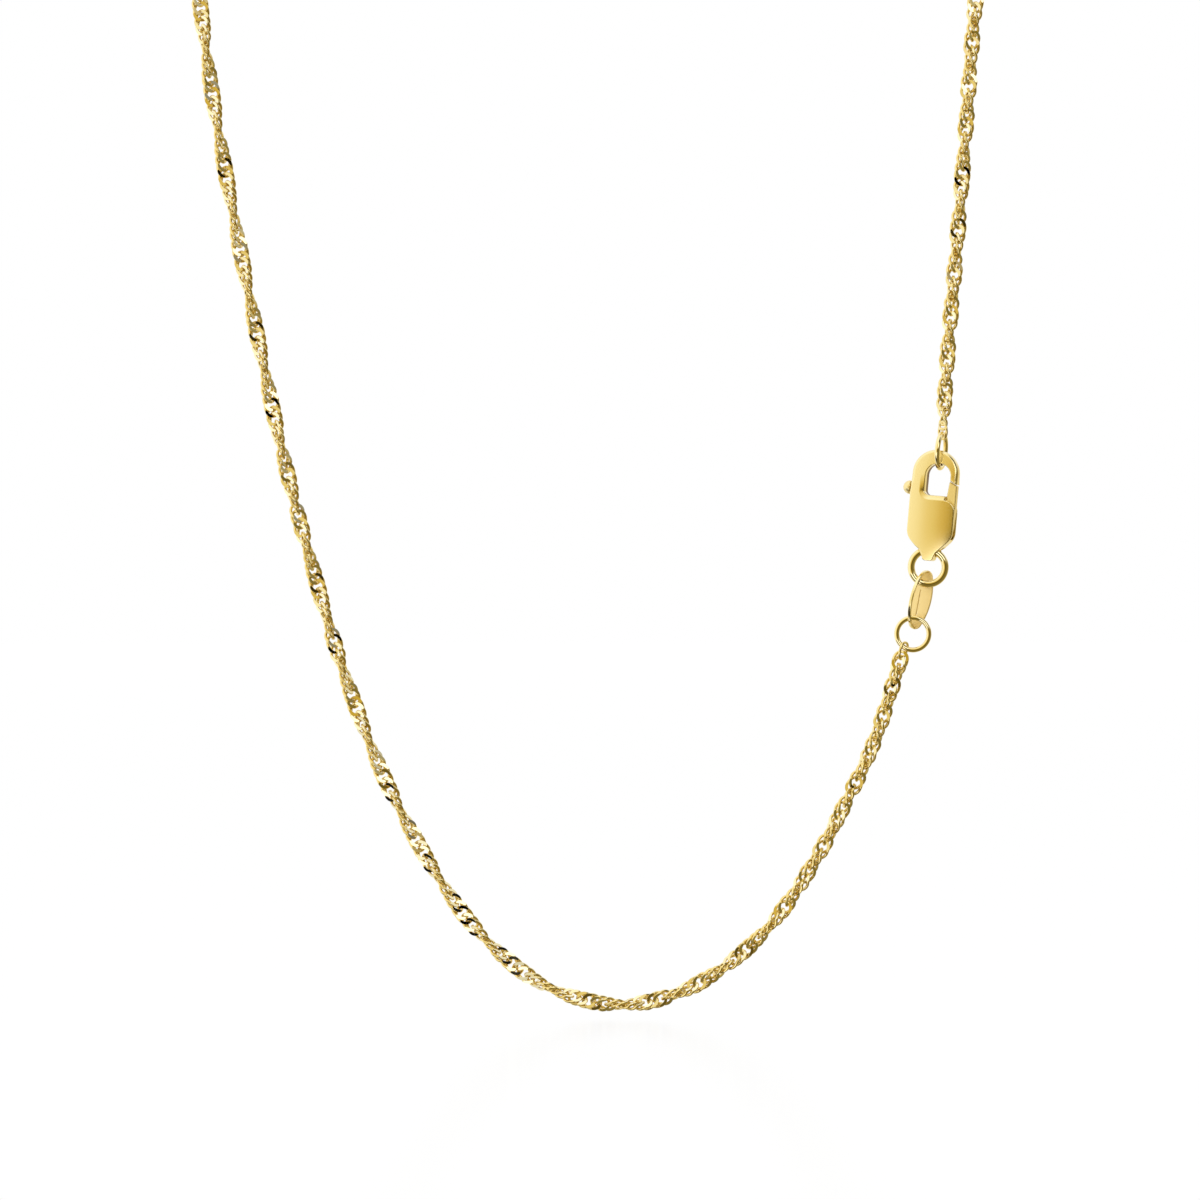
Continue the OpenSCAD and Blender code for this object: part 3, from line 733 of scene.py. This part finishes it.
def pair_places():
    """The middle of each pair of links, in step with the photo on both strands."""
    left = pairs_between(0, LEFT_TOP, LEFT_TOP - LEFT_PAIR_PX * PX)
    right = pairs_between(RIGHT_TOP, length, RIGHT_TOP + RIGHT_PAIR_PX * PX)
    count = round((right[0] - left[-1]) / PITCH)
    hidden = np.linspace(left[-1], right[0], count + 1)[1:-1]
    return np.concatenate([left, hidden, right])


NEAR_LINK = 0.87    # from an end link's middle to the nearest link's
EASED = 60.0        # the pitch changes a little over this length to meet the end links


def link_places():
    """The end links take the place of the second of one pair and the first of another."""
    pairs = pair_places()
    first = np.abs(pairs + PAIR).argmin()
    last = np.abs(pairs - PAIR - length).argmin()
    low, high = -(pairs[first] + PAIR), length - (pairs[last] - PAIR)
    from_first = np.clip(1 - pairs / EASED, 0, 1)
    from_last = np.clip(1 - (length - pairs) / (0.5 * EASED), 0, 1)
    pairs = (pairs + low * from_first + high * from_last)[first + 1:last]
    all_places = np.sort(np.concatenate([pairs - PAIR, pairs + PAIR]))
    all_places[0] = NEAR_LINK
    all_places[-1] = length - NEAR_LINK
    return all_places


places = link_places()
angles = np.interp(places, TWIST_S, TWIST_A)


def frames(s, twist):
    """Places and turns of links: columns across, through and along."""
    centre, along, normal = on_curve(curve, s), on_curve(tangents, s), on_curve(normals, s)
    along /= np.linalg.norm(along, axis=1, keepdims=True)
    normal -= (normal * along).sum(1, keepdims=True) * along
    normal /= np.linalg.norm(normal, axis=1, keepdims=True)
    a = np.radians(twist)[:, None]
    front = normal * np.cos(a) + np.cross(along, normal) * np.sin(a)
    return centre, np.stack([np.cross(along, front), -front, along], -1)


centres, turns = frames(places, angles)
# links lie a little unevenly
rng = np.random.default_rng(WOBBLE_SEED)
for i in range(len(turns)):
    wobble = np.radians(rng.normal(0, WOBBLE, 3))
    m = (Matrix.Rotation(wobble[0], 3, "X") @ Matrix.Rotation(wobble[1], 3, "Y")
         @ Matrix.Rotation(wobble[2], 3, "Z"))
    turns[i] = turns[i] @ np.array(m)

base_v, base_f, base_flat, base_sharp = link_base(
    LINK_SECTIONS, LINK_SIDES, LINK_A, LINK_B, SADDLE, FACET_AT, WIRE)


def chain_piece(name, first, last, node):
    """The links from first up to last as one mesh, their cut faces flat and polished, in a paler gold
    that paints a highlight on them.
    """
    count, n = last - first, len(base_v)
    v = np.concatenate([base_v @ turns[i].T + centres[i] for i in range(first, last)])
    faces = [[x + k * n for x in face] for k in range(count) for face in base_f]
    sharp = [[x + k * n for x in edge] for k in range(count) for edge in base_sharp]
    flat = np.array(base_flat * count)
    mesh = mesh_from(name + "_m", v, faces, [WIRE_GOLD, FACET_HIGHLIGHT_GOLD], ~flat, flat, sharp)
    piece(name, mesh, "necklace", [node])


def chain_side(side, first, last, parts):
    """One side's links, shared out over a few pieces."""
    cuts = np.linspace(first, last, parts + 1).astype(int)
    for k in range(parts):
        chain_piece(f"links_{side}_{k + 1}", cuts[k], cuts[k + 1], "chain_" + side)


nape_link = int(np.searchsorted(places, NAPE))
chain_side("left", 0, nape_link, 3)
chain_side("right", nape_link, len(places), 2)

END_LINK_SECTIONS, END_LINK_SIDES, END_LINK_SADDLE = 64, 16, 0.03


def end_link_piece(name, node, matrix):
    """A nearly flat link of round wire that joins the chain to a ring."""
    v, f, _, _ = link_base(END_LINK_SECTIONS, END_LINK_SIDES, LINK_R,
                           (END_LINK_W - END_LINK_WIRE) / 2, END_LINK_SADDLE, 0, END_LINK_WIRE)
    mesh = mesh_from(name + "_m", placed(v, matrix), f, [WIRE_GOLD])
    piece(name, mesh, "necklace", [node])


end_link_piece("lower_link_gold", "lower_end_link", turned(LOWER_LEAN, LOWER_TURN, LOWER_LINK_AT))
end_link_piece("upper_link_gold", "upper_end_link", turned(0, UPPER_TURN, UPPER_LINK_AT))

# Light, floor and camera

world = bpy.data.worlds.new("studio")
bpy.context.scene.world = world
world.use_nodes = True
world_tree = world.node_tree
world_tree.nodes.clear()


def add_node(kind, **settings):
    """A new node of the world's light, with its settings."""
    node = world_tree.nodes.new(kind)
    for key, value in settings.items():
        setattr(node, key, value)
    return node


def feed(socket, value):
    """Sets an input to a number, a colour or a direction, or links another node's output to it."""
    if isinstance(value, bpy.types.NodeSocket):
        world_tree.links.new(value, socket)
    else:
        socket.default_value = value


def ramp(off_axis, stops):
    """Colours by the angle from the camera's direction, given as pairs of degrees and colour."""
    node = add_node("ShaderNodeValToRGB")
    node.color_ramp.interpolation = "EASE"
    elements = node.color_ramp.elements
    while len(elements) < len(stops):
        elements.new(0.5)
    for element, (at, colour) in zip(elements, stops):
        rgb = colour if isinstance(colour, tuple) else (colour, colour, colour)
        element.position = at / 180
        element.color = (*rgb, 1)
    feed(node.inputs["Fac"], off_axis)
    return node.outputs["Color"]


def vector_math(operation, *inputs):
    """A sum on directions. A dot product gives a number, any other a direction."""
    node = add_node("ShaderNodeVectorMath", operation=operation)
    for socket, value in zip(node.inputs, inputs):
        feed(socket, value)
    return node.outputs["Value" if operation == "DOT_PRODUCT" else "Vector"]


def number_math(operation, *inputs):
    """A sum on numbers."""
    node = add_node("ShaderNodeMath", operation=operation)
    for socket, value in zip(node.inputs, inputs):
        feed(socket, value)
    return node.outputs["Value"]


def step_up(value, low, high):
    """Rises smoothly from 0 at low to 1 at high."""
    node = add_node("ShaderNodeMapRange", interpolation_type="SMOOTHSTEP")
    feed(node.inputs["Value"], value)
    feed(node.inputs["From Min"], low)
    feed(node.inputs["From Max"], high)
    return node.outputs["Result"]


def mixed(factor, a, b):
    """The colour a where the factor is 0 and b where it is 1."""
    node = add_node("ShaderNodeMix", data_type="RGBA")
    for socket, value in zip((node.inputs[0], node.inputs[6], node.inputs[7]), (factor, a, b)):
        feed(socket, value)
    return node.outputs[2]


# What the metal mirrors goes by the angle from the camera's direction, in degrees: black round
# the camera, then gold to white above and to the left, and dark amber below and to the right.
BRIGHT_SIDE = (
    (0, 0.0), (4, 0.0), (8, (0.54, 0.38, 0.05)), (15, (0.67, 0.48, 0.09)), (30, (0.86, 0.72, 0.34)),
    (48, (1.04, 0.98, 0.76)), (66, 1.2), (120, 1.1), (150, 1.0), (180, 1.0))
DARK_SIDE = (
    (0, 0.0), (4, 0.0), (10, (0.14, 0.1, 0.02)), (25, (0.22, 0.17, 0.045)),
    (60, (0.2, 0.16, 0.05)), (95, (0.28, 0.23, 0.09)), (125, (0.6, 0.52, 0.3)),
    (148, (0.88, 0.77, 0.46)), (175, 1.0))
DARK_AT = math.radians(-48)
DARK_FROM, DARK_FULL = 0.1, 0.55
# Up on the right and down on the left stand white panels in black frames
PANEL = ((0, 0.0), (12, 0.0), (18, 1.7), (48, 1.6), (56, 0.01), (80, 0.01), (92, 0.9), (180, 1.0))
PANEL_AT = math.radians(45)
PANEL_FROM, PANEL_FULL = 0.9, 0.95


def build_light():
    """The world: what the metal mirrors, and plain white for the camera."""
    direction = add_node("ShaderNodeTexCoord").outputs["Generated"]
    to_camera = vector_math("DOT_PRODUCT", direction, (0, -1, 0))
    off_axis = number_math("DIVIDE", number_math("ARCCOSINE", to_camera), math.pi)
    sideways = vector_math("NORMALIZE", vector_math("MULTIPLY", direction, (1, 0, 1)))
    towards_dark = vector_math("DOT_PRODUCT", sideways, (math.cos(DARK_AT), 0, math.sin(DARK_AT)))
    around = mixed(step_up(towards_dark, DARK_FROM, DARK_FULL),
                   ramp(off_axis, BRIGHT_SIDE), ramp(off_axis, DARK_SIDE))
    on_panel = number_math("ABSOLUTE", vector_math(
        "DOT_PRODUCT", sideways, (math.cos(PANEL_AT), 0, math.sin(PANEL_AT))))
    around = mixed(step_up(on_panel, PANEL_FROM, PANEL_FULL), around, ramp(off_axis, PANEL))
    light = add_node("ShaderNodeBackground")
    feed(light.inputs["Color"], around)
    white = add_node("ShaderNodeBackground")
    feed(white.inputs["Color"], (1, 1, 1, 1))
    seen = add_node("ShaderNodeMixShader")
    feed(seen.inputs["Fac"], add_node("ShaderNodeLightPath").outputs["Is Camera Ray"])
    feed(seen.inputs[1], light.outputs["Background"])
    feed(seen.inputs[2], white.outputs["Background"])
    feed(add_node("ShaderNodeOutputWorld").inputs["Surface"], seen.outputs["Shader"])


build_light()
scene = bpy.context.scene
scene.view_settings.view_transform = "Standard"

FLOOR_Z = -0.148
FLOOR_CORNERS = ((-4, -2), (4, -2), (4, 6), (-4, 6))
FLOOR_GLOW, FLOOR_SHEEN, FLOOR_ROUGHNESS = 0.91, 0.1, 0.14


def build_floor():
    """A white floor just under the chain that only shows a faint soft reflection."""
    mesh = bpy.data.meshes.new("floor")
    mesh.from_pydata([(x, y, FLOOR_Z) for x, y in FLOOR_CORNERS], [], [(0, 1, 2, 3)])
    floor = bpy.data.objects.new("floor", mesh)
    scene.collection.objects.link(floor)
    floor.visible_glossy = False
    floor.visible_diffuse = False
    floor.visible_shadow = False
    material = bpy.data.materials.new("floor")
    material.use_nodes = True
    tree = material.node_tree
    tree.nodes.clear()
    glow = tree.nodes.new("ShaderNodeEmission")
    glow.inputs["Strength"].default_value = FLOOR_GLOW
    sheen = tree.nodes.new("ShaderNodeBsdfGlossy")
    sheen.inputs["Color"].default_value = (FLOOR_SHEEN, FLOOR_SHEEN, FLOOR_SHEEN, 1)
    sheen.inputs["Roughness"].default_value = FLOOR_ROUGHNESS
    both_glow = tree.nodes.new("ShaderNodeAddShader")
    output = tree.nodes.new("ShaderNodeOutputMaterial")
    tree.links.new(glow.outputs["Emission"], both_glow.inputs[0])
    tree.links.new(sheen.outputs["BSDF"], both_glow.inputs[1])
    tree.links.new(both_glow.outputs["Shader"], output.inputs["Surface"])
    mesh.materials.append(material)


build_floor()

CAMERA_AT = (0.00115, -0.782, -0.1111)
CAMERA_FAR = 0.7     # from the camera to the plane of the front strands
PHOTO_W = 0.1062     # the width that the photo shows in that plane
SENSOR_W = 36        # millimetres

camera_data = bpy.data.cameras.new("camera")
camera_data.sensor_width = SENSOR_W
camera_data.lens = SENSOR_W * CAMERA_FAR / PHOTO_W
camera_data.clip_start = 0.05
camera_data.clip_end = 10
camera = bpy.data.objects.new("camera", camera_data)
camera.location = CAMERA_AT
camera.rotation_euler = (math.pi / 2, 0, 0)
scene.collection.objects.link(camera)
scene.camera = camera
